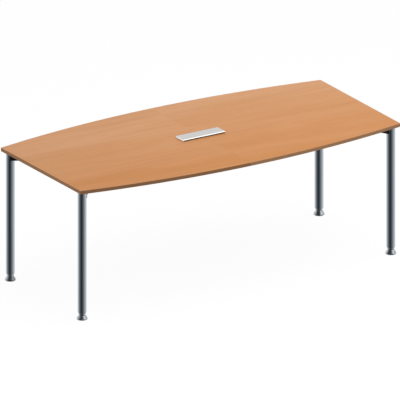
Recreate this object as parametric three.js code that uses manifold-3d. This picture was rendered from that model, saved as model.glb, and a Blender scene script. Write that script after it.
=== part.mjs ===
// Boat-shaped conference table: a two-part wooden top on a plugged steel underframe, four chrome
// tube legs on screw levellers, and a hinged metal cable flap over the middle of the seam.
// Millimetres, +Z up. The origin is on the floor under the middle of the table, X runs along the
// table, and the near side is -Y.

import * as THREE from 'three';
import { mergeVertices } from 'three/addons/utils/BufferGeometryUtils.js';
import Module from 'manifold-3d';

const wasm = await Module();
wasm.setup();

// Table top
const tableLength = 2000;
const endWidth = 800;
const middleWidth = 1000;
const tableHeight = 740;
const boardThickness = 19;
const edgingThickness = 2;
const seamGap = 0.4;
const longEdgeSteps = 20;

// Steel plates that hold the two boards flush under the seam
const seamPlateLength = 120;
const seamPlateWidth = 60;
const seamPlateThickness = 3;
const seamPlateInset = 90;

// Legs: round tubes under the four corners
const legDiameter = 48;
const legWall = 2;
const legInsetFromEnd = 35;
const legInsetFromSide = 41;
const legBottomHeight = 42.5;

// Underframe of rectangular steel tube, set in from the legs
const railDepth = 40;
const railWidth = 20;
const railWall = 2;
const railSetIn = 72;
const railStart = 98;
const spreaderOffset = 210;
const spreaderPlateWidth = 60;
const spreaderPlateThickness = 4;

// Corner brackets between each leg and two rails
const saddleLip = 2;
const saddleHalfAngle = THREE.MathUtils.degToRad(80);
const waistStart = 46;
const waistEnd = 94;
const waistWidth = 30;
const spigotLength = 45;

// Leg bolts, from the bracket into a half-round nut plate in the tube
const legBoltDiameter = 8;
const legBoltHeadDiameter = 13;
const legBoltHeadHeight = 8;
const legBoltTail = 4;
const nutPlateThickness = 10;
const nutPlateHeight = 30;
const socketDiameter = 6.5;
const socketDepth = 4;

// Screws from the brackets up into the boards
const boardScrewDiameter = 5;
const boardScrewHeadDiameter = 9;
const boardScrewHeadHeight = 3;
const boardScrewBite = 15;
const boardScrewReach = 106;
const boardScrewSpread = 29;

// Levellers: a coned plug in the tube's foot, a threaded stem and a coned foot pad
const plugLength = 46;
const plugConeHeight = 10;
const plugConeDiameter = 40;
const stemDiameter = 10;
const stemCollarDiameter = 35;
const stemFlatsWidth = 32;
const stemCollarBottom = 27;
const stemCollarTop = 48;
const stemTop = 86;
const stemTravelUp = 5;
const journalDiameter = 12;
const journalBottom = 5;
const padDiameter = 58;
const padRimHeight = 7;
const padChamfer = 2;
const padConeTop = 25;
const padNeckDiameter = 36;

// Cable flap: a collar through both boards and a raised lid that hinges at its far edge
const flapLength = 264;
const flapWidth = 76;
const flapRaise = 12;
const lidThickness = 3;
const cheekThickness = 3;
const lidChamfer = 2.5;
const noseRun = 3.2;
const noseDrop = 4.5;
const endSlopeRun = 3;
const endSlopeDrop = 7;
const hingeHeight = 5;
const hingeSetIn = 4.3;
const hingePinDiameter = 3;
const hingePinInset = 1.5;
const hingeLugRadius = 3.4;
const hingeLugLength = 10;
const flangeThickness = 2;
const flangeFrontInset = 6;
const flangeRearInset = 2.2;
const portEndMargin = 20;
const portSideMargin = 16;
const collarWall = 3;
const collarDrop = 6;
const portScrewDiameter = 3.5;
const portScrewHeadDiameter = 6.5;
const portScrewHeadHeight = 1.6;
const portScrewBite = 14;
const portScrewInset = 5;

// Clearances and the number of flats that stand for a round face
const fitGap = 0.3;
const sideGap = 1;
const holeGap = 0.5;
const tubeSides = 32;
const screwSides = 12;

// Places worked out from the sizes above
const legX = tableLength / 2 - legInsetFromEnd;
const legY = endWidth / 2 - legInsetFromSide;
const legRadius = legDiameter / 2;
const boreRadius = legRadius - legWall;
const underside = tableHeight - boardThickness;
const frameBottom = underside - railDepth;
const frameMiddle = underside - railDepth / 2;
const longRailInnerY = legY - railSetIn - railWidth / 2;
const portLength = flapLength - 2 * portEndMargin;
const portWidth = flapWidth - 2 * portSideMargin;
const cutoutX = portLength / 2 + collarWall + holeGap;
const cutoutY = portWidth / 2 + collarWall + holeGap;
const hingeY = flapWidth / 2 - hingeSetIn;
const hingeZ = tableHeight + hingeHeight;
const lidTop = tableHeight + flapRaise;
const lidUnderside = lidTop - lidThickness;
const cheekInnerX = flapLength / 2 - cheekThickness;
const flangeX = cheekInnerX - sideGap;
const flangeTop = tableHeight + flangeThickness;
const padTop = stemCollarBottom - fitGap;
const bracketEnd = (railStart + railSetIn + railWidth / 2) / Math.SQRT2;
const boltSeat = bracketEnd - legBoltHeadHeight - sideGap;

const finishes = {
  wood: { color: 0xcf986c, roughness: 0.45, metalness: 0 },
  edging: { color: 0xb07f57, roughness: 0.5, metalness: 0 },
  chrome: { color: 0xb4b8bc, roughness: 0.15, metalness: 1 },
  blackSteel: { color: 0x17181a, roughness: 0.5, metalness: 0.2 },
  blackPlastic: { color: 0x1b1b1c, roughness: 0.6, metalness: 0 },
  zinc: { color: 0x9a9da0, roughness: 0.35, metalness: 1 },
  silver: { color: 0xd9dbdc, roughness: 0.35, metalness: 0.8 },
};

// A closed solid for joining and cutting
function solid(geometry) {
  const bare = geometry.clone();
  bare.deleteAttribute('normal');
  bare.deleteAttribute('uv');
  const merged = mergeVertices(bare);
  const index = merged.index.array;
  const triangles = [];
  for (let i = 0; i < index.length; i += 3) {
    const [a, b, c] = index.slice(i, i + 3);
    if (a !== b && b !== c && c !== a) triangles.push(a, b, c);
  }
  return new wasm.Manifold(new wasm.Mesh({
    numProp: 3,
    vertProperties: new Float32Array(merged.attributes.position.array),
    triVerts: new Uint32Array(triangles),
  }));
}

// The geometry of a base piece after its additions and its cuts
function carve(base, { add = [], cut = [] }) {
  let body = solid(base);
  for (const piece of add) body = body.add(solid(piece));
  for (const piece of cut) body = body.subtract(solid(piece));
  const mesh = body.getMesh();
  const geometry = new THREE.BufferGeometry();
  geometry.setAttribute('position', new THREE.BufferAttribute(mesh.vertProperties, 3));
  geometry.setIndex(new THREE.BufferAttribute(mesh.triVerts, 1));
  geometry.computeVertexNormals();
  return geometry;
}

// A rectangular block between two corners
function block([x0, y0, z0], [x1, y1, z1]) {
  const geometry = new THREE.BoxGeometry(2, 2, 2);
  const place = geometry.attributes.position;
  for (let i = 0; i < place.count; i += 1) {
    const x = place.getX(i) < 0 ? x0 : x1;
    const y = place.getY(i) < 0 ? y0 : y1;
    const z = place.getZ(i) < 0 ? z0 : z1;
    place.setXYZ(i, x, y, z);
  }
  return geometry;
}

// An outline in plan, drawn up from one height to another
function prism(points, z0, z1) {
  const outline = new THREE.Shape(points.map(([x, y]) => new THREE.Vector2(x, y)));
  const geometry = new THREE.ExtrudeGeometry(outline, { depth: 1, bevelEnabled: false });
  const place = geometry.attributes.position;
  for (let i = 0; i < place.count; i += 1) place.setZ(i, place.getZ(i) < 0.5 ? z0 : z1);
  return geometry;
}

// An outline of [y, z] points, drawn along X
function bar(points, x0, x1) {
  const geometry = prism(points, x0, x1);
  geometry.rotateY(Math.PI / 2);
  geometry.rotateX(Math.PI / 2);
  return geometry;
}

// A profile of [radius, z] points, turned about Z
function turned(profile, sides) {
  const geometry = new THREE.LatheGeometry(profile.map(([r, z]) => new THREE.Vector2(r, z)), sides);
  return geometry.rotateX(Math.PI / 2);
}

// A solid rod along Z
function rod(diameter, z0, z1, sides) {
  const r = diameter / 2;
  return turned([[0, z0], [r, z0], [r, z1], [0, z1]], sides);
}

// A piece made along Z, laid down so that its Z runs along X
function layAlongX(geometry) {
  return geometry.rotateY(Math.PI / 2);
}

// Points on a circle, from one angle to another
function arc(radius, from, to, steps, [x, y] = [0, 0]) {
  return Array.from({ length: steps + 1 }, (_, i) => {
    const angle = from + ((to - from) * i) / steps;
    return [x + radius * Math.cos(angle), y + radius * Math.sin(angle)];
  });
}

function part(name, geometry, finish) {
  const mesh = new THREE.Mesh(geometry, new THREE.MeshStandardMaterial(finish));
  mesh.name = name;
  return mesh;
}

// The half width of the top at a place along the table, in by a margin from its edge
function halfWidthAt(x, inset) {
  const bow = (middleWidth - endWidth) / 2;
  const radius = ((tableLength / 2) ** 2 + bow ** 2) / (2 * bow);
  return Math.sqrt((radius - inset) ** 2 - x ** 2) - (radius - middleWidth / 2);
}

// One half's outer edges: from the seam along the near side, round the end, and back along the far side
function outerEdges(side, inset) {
  const seam = seamGap / 2;
  const end = tableLength / 2 - inset;
  const near = Array.from({ length: longEdgeSteps + 1 }, (_, i) => {
    const x = seam + ((end - seam) * i) / longEdgeSteps;
    return [side * x, -halfWidthAt(x, inset)];
  });
  const far = near.map(([x, y]) => [x, -y]).reverse();
  return [...near, ...far];
}

// A board has half of the cable port's cut-out in its seam edge, and pilot holes for its screws
function board(side, bracketPlaces, flapPlaces) {
  const seam = (side * seamGap) / 2;
  const notch = [
    [seam, cutoutY],
    [side * cutoutX, cutoutY],
    [side * cutoutX, -cutoutY],
    [seam, -cutoutY],
  ];
  const blank = prism([...outerEdges(side, edgingThickness), ...notch], underside, tableHeight);
  const boardPilot = rod(
    boardScrewDiameter + 2 * fitGap, underside - sideGap, underside + boardScrewBite + fitGap, screwSides,
  );
  const portPilot = rod(
    portScrewDiameter + 2 * fitGap, tableHeight - portScrewBite - fitGap, tableHeight + sideGap, screwSides,
  );
  const pilots = [
    ...bracketPlaces.map(([x, y]) => boardPilot.clone().translate(x, y, 0)),
    ...flapPlaces.map(([x, y]) => portPilot.clone().translate(x, y, 0)),
  ];
  return carve(blank, { cut: pilots });
}

function edging(side) {
  const inner = outerEdges(side, edgingThickness).reverse();
  return prism([...outerEdges(side, 0), ...inner], underside, tableHeight);
}

function seamPlate(side) {
  const y = side * (middleWidth / 2 - seamPlateInset);
  return block(
    [-seamPlateLength / 2, y - seamPlateWidth / 2, underside - seamPlateThickness],
    [seamPlateLength / 2, y + seamPlateWidth / 2, underside],
  );
}

// A rail of rectangular tube between two opposite corners of its box, open at both ends along X or Y
function rail([x0, y0], [x1, y1], along) {
  const wallX = along === 'x' ? -sideGap : railWall;
  const wallY = along === 'y' ? -sideGap : railWall;
  const tube = block([x0, y0, frameBottom], [x1, y1, underside]);
  const hollow = block(
    [x0 + wallX, y0 + wallY, frameBottom + railWall],
    [x1 - wallX, y1 - wallY, underside - railWall],
  );
  return carve(tube, { cut: [hollow] });
}

function longRail(side) {
  const end = legX - railStart - fitGap;
  const y = side * (legY - railSetIn);
  return rail([-end, y - railWidth / 2], [end, y + railWidth / 2], 'x');
}

function endRail(side) {
  const end = legY - railStart - fitGap;
  const x = side * (legX - railSetIn);
  return rail([x - railWidth / 2, -end], [x + railWidth / 2, end], 'y');
}

// A spreader is a channel, open below, with a plate at each end that bolts to a long rail
function spreader(side) {
  const x = side * spreaderOffset;
  const reach = longRailInnerY;
  const channel = block(
    [x - railWidth / 2, -reach, frameBottom],
    [x + railWidth / 2, reach, underside],
  );
  const inside = block(
    [x - railWidth / 2 + railWall, -reach + spreaderPlateThickness, frameBottom - sideGap],
    [x + railWidth / 2 - railWall, reach - spreaderPlateThickness, underside - railWall],
  );
  const plates = [-1, 1].map((end) => block(
    [x - spreaderPlateWidth / 2, end * reach - (end > 0 ? spreaderPlateThickness : 0), frameBottom],
    [x + spreaderPlateWidth / 2, end * reach + (end < 0 ? spreaderPlateThickness : 0), underside],
  ));
  return carve(channel, { add: plates, cut: [inside] });
}

// Corner pieces are drawn about the leg's axis, with +X pointing in along the diagonal. A place that
// is p in from the leg along one rail and q in along the other lies at these coordinates.
function fromRails(p, q) {
  return [(p + q) / Math.SQRT2, (p - q) / Math.SQRT2];
}

// The bracket's saddle wraps the leg's inward half with thin lips, and its other end carries two rails
// on spigots
function bracket() {
  const saddleRadius = legRadius + fitGap;
  const lip = saddleRadius + saddleLip;
  const half = waistWidth / 2;
  const oneSide = [
    [lip * Math.cos(saddleHalfAngle), lip * Math.sin(saddleHalfAngle)],
    [waistStart, half],
    [waistEnd, half],
    fromRails(railStart, railSetIn - railWidth / 2),
    fromRails(railStart, railSetIn + railWidth / 2),
  ];
  const otherSide = oneSide.map(([u, v]) => [u, -v]).reverse();
  const saddle = arc(saddleRadius, -saddleHalfAngle, saddleHalfAngle, tubeSides / 2);
  const blank = prism([...saddle, ...oneSide, ...otherSide], frameBottom, underside);
  const spigotHalfWidth = railWidth / 2 - railWall - fitGap;
  const spigots = [1, -1].map((turn) => block(
    [railStart - sideGap, turn * -railSetIn - spigotHalfWidth, frameBottom + railWall + fitGap],
    [railStart + spigotLength, turn * -railSetIn + spigotHalfWidth, underside - railWall - fitGap],
  ).rotateZ((turn * Math.PI) / 4));
  const boltHole = rod(legBoltDiameter + 2 * fitGap, 0, bracketEnd, screwSides);
  const headHole = rod(
    legBoltHeadDiameter + 2 * fitGap, boltSeat - fitGap, bracketEnd + sideGap, screwSides,
  );
  const bores = [boltHole, headHole].map((bore) => layAlongX(bore).translate(0, 0, frameMiddle));
  const screwHole = rod(
    boardScrewDiameter + 2 * fitGap, frameBottom - sideGap, underside + sideGap, screwSides,
  );
  const screwHoles = [-1, 1].map((side) => (
    screwHole.clone().translate(boardScrewReach, (side * boardScrewSpread) / 2, 0)
  ));
  return carve(blank, { add: spigots, cut: [...bores, ...screwHoles] });
}

function legTube() {
  const tube = turned([
    [boreRadius, legBottomHeight],
    [legRadius, legBottomHeight],
    [legRadius, underside],
    [boreRadius, underside],
    [boreRadius, legBottomHeight],
  ], tubeSides);
  const hole = layAlongX(rod(legBoltDiameter + 2 * fitGap, 0, legDiameter, screwSides));
  return carve(tube, { cut: [hole.translate(0, 0, frameMiddle)] });
}

// The nut plate fills a segment of the tube's bore, behind the bolt hole
function nutPlate() {
  const radius = boreRadius - fitGap;
  const halfAngle = Math.acos((radius - nutPlateThickness) / radius);
  const segment = arc(radius, -halfAngle, halfAngle, screwSides);
  const plate = prism(segment, frameMiddle - nutPlateHeight / 2, frameMiddle + nutPlateHeight / 2);
  const hole = layAlongX(rod(legBoltDiameter + 2 * fitGap, 0, legDiameter, screwSides));
  return carve(plate, { cut: [hole.translate(0, 0, frameMiddle)] });
}

function legBolt() {
  const shank = legBoltDiameter / 2;
  const head = legBoltHeadDiameter / 2;
  const socket = socketDiameter / 2;
  const tip = boreRadius - nutPlateThickness - legBoltTail;
  const crown = boltSeat + legBoltHeadHeight;
  const bolt = turned([
    [0, tip], [shank, tip], [shank, boltSeat], [head, boltSeat], [head, crown],
    [socket, crown], [socket, crown - socketDepth], [0, crown - socketDepth],
  ], screwSides);
  return layAlongX(bolt).translate(0, 0, frameMiddle);
}

// A screw that stands point up, its head under what it clamps
function boardScrew() {
  const shank = boardScrewDiameter / 2;
  const head = boardScrewHeadDiameter / 2;
  const tip = underside + boardScrewBite;
  const screw = turned([
    [0, frameBottom - boardScrewHeadHeight], [head, frameBottom - boardScrewHeadHeight],
    [head, frameBottom], [shank, frameBottom], [shank, tip - boardScrewDiameter], [0, tip],
  ], screwSides);
  return screw;
}

// The plug closes the tube's foot: a cone below, a threaded bore, and a well for the stem's collar
function legPlug() {
  const coneBottom = legBottomHeight - plugConeHeight;
  const top = legBottomHeight + plugLength;
  const thread = stemDiameter / 2 + fitGap;
  const well = stemCollarDiameter / 2 + fitGap;
  const wellTop = stemCollarTop + stemTravelUp + sideGap;
  return turned([
    [well, coneBottom],
    [plugConeDiameter / 2, coneBottom],
    [legRadius, legBottomHeight - fitGap],
    [boreRadius - fitGap, legBottomHeight - fitGap],
    [boreRadius - fitGap, top],
    [thread, top],
    [thread, wellTop],
    [well, wellTop],
    [well, coneBottom],
  ], tubeSides);
}

// The stem is threaded above, has a collar with two flats for a spanner, and ends in a journal that turns
// in the pad
function stem() {
  const thread = stemDiameter / 2;
  const journal = journalDiameter / 2;
  const spindle = turned([
    [0, journalBottom], [journal, journalBottom], [journal, stemCollarTop], [thread, stemCollarTop],
    [thread, stemTop], [0, stemTop],
  ], screwSides);
  const stemCollar = rod(stemCollarDiameter, stemCollarBottom, stemCollarTop, tubeSides);
  const flats = [-1, 1].map((side) => block(
    [side > 0 ? stemFlatsWidth / 2 : -stemCollarDiameter, -stemCollarDiameter, stemCollarBottom - sideGap],
    [side > 0 ? stemCollarDiameter : -stemFlatsWidth / 2, stemCollarDiameter, stemCollarTop + sideGap],
  ));
  return carve(spindle, { add: [stemCollar], cut: flats });
}

// The pad is a cone on a low rim, and the socket in its neck holds the stem's journal
function footPad() {
  const rim = padDiameter / 2;
  const neck = padNeckDiameter / 2;
  const socket = journalDiameter / 2 + fitGap;
  const socketFloor = journalBottom - fitGap;
  return turned([
    [0, 0], [rim - padChamfer, 0], [rim, padChamfer], [rim, padRimHeight],
    [neck, padConeTop], [neck, padTop],
    [socket, padTop], [socket, socketFloor], [0, socketFloor],
  ], tubeSides);
}

// The collar lines the cut-out, rests on both boards by its flange, and has two lugs for the hinge pins
function collar() {
  const sleeveX = portLength / 2 + collarWall;
  const sleeveY = portWidth / 2 + collarWall;
  const flange = block(
    [-flangeX, -flapWidth / 2 + flangeFrontInset, tableHeight],
    [flangeX, hingeY + flangeRearInset, flangeTop],
  );
  const sleeve = block(
    [-sleeveX, -sleeveY, underside - collarDrop],
    [sleeveX, sleeveY, flangeTop],
  );
  const port = block(
    [-portLength / 2, -portWidth / 2, underside - collarDrop - sideGap],
    [portLength / 2, portWidth / 2, flangeTop + sideGap],
  );
  const lugProfile = [
    ...arc(hingeLugRadius, 0, Math.PI, screwSides / 2, [hingeY, hingeZ]),
    [hingeY - hingeLugRadius, tableHeight + flangeThickness / 2],
    [hingeY + flangeRearInset, tableHeight + flangeThickness / 2],
    [hingeY + flangeRearInset, flangeTop],
  ];
  const lugs = [[-flangeX, -flangeX + hingeLugLength], [flangeX - hingeLugLength, flangeX]].map(
    ([x0, x1]) => bar(lugProfile, x0, x1),
  );
  const pinHole = layAlongX(rod(hingePinDiameter + 2 * fitGap, -flapLength, flapLength, screwSides));
  const screwHole = rod(
    portScrewDiameter + 2 * fitGap, tableHeight - sideGap, flangeTop + sideGap, screwSides,
  );
  const screwHoles = portScrewPlaces.map(([x, y]) => screwHole.clone().translate(x, y, 0));
  return carve(flange, {
    add: [sleeve, ...lugs],
    cut: [port, pinHole.translate(0, hingeY, hingeZ), ...screwHoles],
  });
}

// The lid has a plate with a sloping nose along its near edge, and a cheek at each end that is rounded
// about the hinge pin and slopes in above it
function lid() {
  const front = -flapWidth / 2;
  const rear = flapWidth / 2;
  const end = flapLength / 2;
  const noseTip = lidTop - noseDrop;
  const noseAt = (z) => front + (noseRun * (z - noseTip)) / noseDrop;
  const shoulder = lidTop - lidChamfer;
  const plate = bar([
    [front, noseTip],
    [front + lidThickness, noseTip],
    [noseAt(lidUnderside) + lidThickness, lidUnderside],
    [rear, lidUnderside],
    [rear, shoulder],
    [rear - lidChamfer, lidTop],
    [noseAt(lidTop), lidTop],
  ], -end, end);
  const cheekProfile = [
    [front, hingeZ - hingeSetIn],
    ...arc(hingeSetIn, -Math.PI / 2, 0, screwSides / 2, [hingeY, hingeZ]),
    [rear, shoulder],
    [noseAt(shoulder), shoulder],
    [front, noseTip],
  ];
  const cheeks = [[-end, -cheekInnerX], [cheekInnerX, end]].map(([x0, x1]) => bar(cheekProfile, x0, x1));
  const pinHole = layAlongX(rod(hingePinDiameter + 2 * fitGap, -flapLength, flapLength, screwSides));
  const above = lidTop + sideGap;
  const slopeFoot = lidTop - endSlopeDrop;
  const waste = [
    [end, slopeFoot],
    [end + sideGap, slopeFoot],
    [end + sideGap, above],
    [end - (endSlopeRun * (above - slopeFoot)) / endSlopeDrop, above],
  ];
  const endSlopes = [-1, 1].map((side) => (
    bar(waste, -flapWidth, flapWidth).rotateZ((side * Math.PI) / 2)
  ));
  return carve(plate, { add: cheeks, cut: [pinHole.translate(0, hingeY, hingeZ), ...endSlopes] });
}

function hingePin(side) {
  const inner = flangeX - hingeLugLength;
  const outer = flapLength / 2 - hingePinInset;
  const span = [side * inner, side * outer].sort((a, b) => a - b);
  return layAlongX(rod(hingePinDiameter, ...span, screwSides)).translate(0, hingeY, hingeZ);
}

function portScrew() {
  const shank = portScrewDiameter / 2;
  const head = portScrewHeadDiameter / 2;
  const tip = tableHeight - portScrewBite;
  return turned([
    [0, tip], [shank, tip + portScrewDiameter], [shank, flangeTop], [head, flangeTop],
    [head, flangeTop + portScrewHeadHeight], [0, flangeTop + portScrewHeadHeight],
  ], screwSides);
}

const corners = [
  { name: 'far_left', x: -1, y: 1 },
  { name: 'near_left', x: -1, y: -1 },
  { name: 'far_right', x: 1, y: 1 },
  { name: 'near_right', x: 1, y: -1 },
];
const ends = [{ name: 'left', side: -1 }, { name: 'right', side: 1 }];
const longSides = [{ name: 'near', side: -1 }, { name: 'far', side: 1 }];

const portScrewX = (flangeX + portLength / 2 + collarWall) / 2;
const portScrewY = portWidth / 2 - portScrewInset;
const portScrewPlaces = [-1, 1].flatMap((x) => [-1, 1].map((y) => [x * portScrewX, y * portScrewY]));

const table = new THREE.Group();

// Each corner group stands at its leg's axis and is turned to face the middle of the table
for (const corner of corners) {
  const group = new THREE.Group();
  group.position.set(corner.x * legX, corner.y * legY, 0);
  group.rotation.z = Math.atan2(-corner.y, -corner.x);
  group.add(
    part(`corner_bracket_${corner.name}`, bracket(), finishes.blackSteel),
    part(`leg_tube_${corner.name}`, legTube(), finishes.chrome),
    part(`leg_nut_plate_${corner.name}`, nutPlate(), finishes.zinc),
    part(`leg_bolt_${corner.name}`, legBolt(), finishes.zinc),
    part(`leg_plug_${corner.name}`, legPlug(), finishes.chrome),
    part(`leveller_stem_${corner.name}`, stem(), finishes.chrome),
    part(`foot_pad_${corner.name}`, footPad(), finishes.chrome),
  );
  for (const [letter, side] of [['a', -1], ['b', 1]]) {
    const screw = part(`board_screw_${corner.name}_${letter}`, boardScrew(), finishes.zinc);
    screw.position.set(boardScrewReach, (side * boardScrewSpread) / 2, 0);
    group.add(screw);
  }
  table.add(group);
}

// The places in plan of the bracket screws of one half
function boardScrewPlaces(side) {
  return corners.filter((corner) => corner.x === side).flatMap((corner) => [-1, 1].map((spread) => {
    const place = new THREE.Vector2(boardScrewReach, (spread * boardScrewSpread) / 2);
    place.rotateAround(new THREE.Vector2(), Math.atan2(-corner.y, -corner.x));
    return [corner.x * legX + place.x, corner.y * legY + place.y];
  }));
}

for (const { name, side } of ends) {
  const portPlaces = portScrewPlaces.filter(([x]) => Math.sign(x) === side);
  table.add(
    part(`board_${name}`, board(side, boardScrewPlaces(side), portPlaces), finishes.wood),
    part(`edging_${name}`, edging(side), finishes.edging),
    part(`end_rail_${name}`, endRail(side), finishes.blackSteel),
    part(`spreader_${name}`, spreader(side), finishes.blackSteel),
    part(`flap_hinge_pin_${name}`, hingePin(side), finishes.zinc),
  );
}

for (const { name, side } of longSides) {
  table.add(
    part(`long_rail_${name}`, longRail(side), finishes.blackSteel),
    part(`seam_plate_${name}`, seamPlate(side), finishes.zinc),
  );
}

table.add(part('flap_collar', collar(), finishes.blackPlastic), part('flap_lid', lid(), finishes.silver));
portScrewPlaces.forEach(([x, y], i) => {
  const screw = part(`flap_screw_${i + 1}`, portScrew(), finishes.zinc);
  screw.position.set(x, y, 0);
  table.add(screw);
});

export default table;
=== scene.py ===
import math

import bmesh
import bpy
from mathutils import Matrix, Vector


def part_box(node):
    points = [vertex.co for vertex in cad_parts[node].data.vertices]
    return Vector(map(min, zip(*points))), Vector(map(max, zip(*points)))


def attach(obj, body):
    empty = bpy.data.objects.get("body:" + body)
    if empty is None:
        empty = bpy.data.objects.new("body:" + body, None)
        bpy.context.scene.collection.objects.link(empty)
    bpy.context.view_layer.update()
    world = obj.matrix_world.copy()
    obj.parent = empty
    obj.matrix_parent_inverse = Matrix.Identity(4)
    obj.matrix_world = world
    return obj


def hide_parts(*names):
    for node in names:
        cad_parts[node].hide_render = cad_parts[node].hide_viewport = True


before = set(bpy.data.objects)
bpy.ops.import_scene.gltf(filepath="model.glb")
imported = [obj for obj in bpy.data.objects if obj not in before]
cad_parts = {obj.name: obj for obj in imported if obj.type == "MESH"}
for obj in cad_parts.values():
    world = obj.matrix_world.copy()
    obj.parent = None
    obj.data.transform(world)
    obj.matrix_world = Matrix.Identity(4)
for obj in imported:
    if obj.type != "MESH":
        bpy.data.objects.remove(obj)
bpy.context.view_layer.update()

# Leg tubes: four round steel tubes, 48 mm across with a 2 mm wall, polished and chrome plated.
# Each stands under a corner of the top and is bolted to the bracket that hugs its inner side.
corners = {"far_left": (-1, 1), "near_left": (-1, -1), "far_right": (1, 1), "near_right": (1, -1)}
tube_low, tube_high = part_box("leg_tube_near_left")
leg_radius = (tube_high.x - tube_low.x) / 2
leg_wall = 0.002
leg_foot = tube_low.z
leg_top = tube_high.z
fine_arris = 0.0006
turned_segments = 96
noise_middle = (0.3, 0.7)


def add(tree, kind, inputs=None, **settings):
    """A new node. An input takes a value, or another node's output to link to."""
    made = tree.nodes.new(kind)
    for setting, value in settings.items():
        setattr(made, setting, value)
    for socket, value in (inputs or {}).items():
        if isinstance(value, bpy.types.NodeSocket):
            tree.links.new(value, made.inputs[socket])
        else:
            made.inputs[socket].default_value = value
    return made


def new_finish(name, **constants):
    """A material, its node tree and its shader, with the shader's constant sockets set."""
    made = bpy.data.materials.new(name)
    made.use_nodes = True
    shader = made.node_tree.nodes["Principled BSDF"]
    for socket, value in constants.items():
        shader.inputs[socket.replace("_", " ")].default_value = value
    return made, made.node_tree, shader


def grain(tree, stretch, detail=2.0, coordinates="Object"):
    """Noise whose spots per metre differ by axis, so that it can run in lines."""
    place = add(tree, "ShaderNodeTexCoord")
    scaled = add(tree, "ShaderNodeMapping", {"Vector": place.outputs[coordinates], "Scale": stretch})
    noise = {"Vector": scaled.outputs["Vector"], "Scale": 1.0, "Detail": detail}
    return add(tree, "ShaderNodeTexNoise", noise).outputs["Fac"]


def spread(tree, value, low, high):
    """The middle of a noise's range, drawn out to run from low to high."""
    limits = {"Value": value, "From Min": noise_middle[0], "From Max": noise_middle[1],
              "To Min": low, "To Max": high}
    return add(tree, "ShaderNodeMapRange", limits).outputs["Result"]


def srgb(red, green, blue):
    """A colour as a screen shows it, 0 to 255, in the linear values that shaders take."""
    def linear(level):
        share = level / 255
        return share / 12.92 if share <= 0.04045 else ((share + 0.055) / 1.055) ** 2.4
    return (linear(red), linear(green), linear(blue), 1.0)


def mix_colors(tree, share, one, other):
    """A colour between two others, by a share that varies over the surface."""
    inputs = {"Factor": share, "A": one, "B": other}
    return add(tree, "ShaderNodeMix", inputs, data_type="RGBA").outputs["Result"]


def bump(tree, height, depth):
    """Surface normals for a relief of that depth in metres."""
    inputs = {"Height": height, "Distance": depth, "Strength": 1.0}
    return add(tree, "ShaderNodeBump", inputs).outputs["Normal"]


def chrome_finish():
    """Chrome plate: mirror bright, with hairline polishing marks round the piece."""
    made, tree, shader = new_finish("chrome", Metallic=1.0)
    marks = grain(tree, (15, 15, 900), detail=4)
    haze = grain(tree, (9, 9, 4))
    tone = mix_colors(tree, haze, srgb(216, 224, 230), srgb(226, 233, 238))
    tree.links.new(tone, shader.inputs["Base Color"])
    tree.links.new(spread(tree, marks, 0.03, 0.09), shader.inputs["Roughness"])
    return made


def bake(piece, modifier):
    """Keeps what a modifier makes of a piece as the piece's plain mesh."""
    evaluated = piece.evaluated_get(bpy.context.evaluated_depsgraph_get())
    mesh = bpy.data.meshes.new_from_object(evaluated)
    piece.modifiers.remove(modifier)
    piece.data = mesh


def smooth(piece, sharp_angle=30):
    """Shades a piece smooth up to an angle between faces, with its large faces kept flat."""
    piece.data.shade_smooth()
    piece.data.set_sharp_from_angle(angle=math.radians(sharp_angle))
    modifier = piece.modifiers.new("flat faces", "WEIGHTED_NORMAL")
    modifier.keep_sharp = True
    bake(piece, modifier)


def new_object(mesh, finish):
    """An object at the origin for a mesh that holds its own place."""
    mesh.materials.clear()
    mesh.materials.append(finish)
    made = bpy.data.objects.new(mesh.name, mesh)
    bpy.context.scene.collection.objects.link(made)
    return made


def new_piece(name, vertices, faces, finish):
    """A piece from its vertices and faces."""
    mesh = bpy.data.meshes.new(name)
    mesh.from_pydata(vertices, [], faces)
    return new_object(mesh, finish)


def round_corners(points, steps=4):
    """A closed outline of (x, y, radius) corners, each turned into a short curve."""
    outline = []
    for i, (x, y, radius) in enumerate(points):
        corner = Vector((x, y))
        if not radius:
            outline.append((x, y))
            continue
        before = Vector(points[i - 1][:2]) - corner
        after = Vector(points[(i + 1) % len(points)][:2]) - corner
        reach = radius / math.tan(before.angle(after) / 2)
        start = corner + before.normalized() * reach
        end = corner + after.normalized() * reach
        for step in range(steps + 1):
            share = step / steps
            curve = start.lerp(corner, share).lerp(corner.lerp(end, share), share)
            outline.append((curve.x, curve.y))
    return outline


def turned(outline, segments):
    """Vertices and faces of a (radius, height) outline turned about Z. It runs up its outer side."""
    vertices = []
    rings = []
    for radius, height in outline:
        count = segments if radius > 0 else 1
        rings.append(range(len(vertices), len(vertices) + count))
        for i in range(count):
            angle = 2 * math.pi * i / segments
            vertices.append((radius * math.cos(angle), radius * math.sin(angle), height))
    faces = []
    for lower, upper in zip(rings, rings[1:] + rings[:1]):
        for i in range(segments):
            here, ahead = i, (i + 1) % segments
            corner_run = [lower[here % len(lower)], lower[ahead % len(lower)],
                          upper[ahead % len(upper)], upper[here % len(upper)]]
            face = list(dict.fromkeys(corner_run))
            if len(face) > 2:
                faces.append(face)
    return vertices, faces


def shifted(vertices, offset):
    """Vertices all moved by one offset."""
    return [tuple(Vector(vertex) + Vector(offset)) for vertex in vertices]


def leg_axis(corner):
    """The point on the floor under the middle of a leg."""
    low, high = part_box(f"leg_tube_{corner}")
    return Vector(((low.x + high.x) / 2, (low.y + high.y) / 2, 0))


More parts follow.
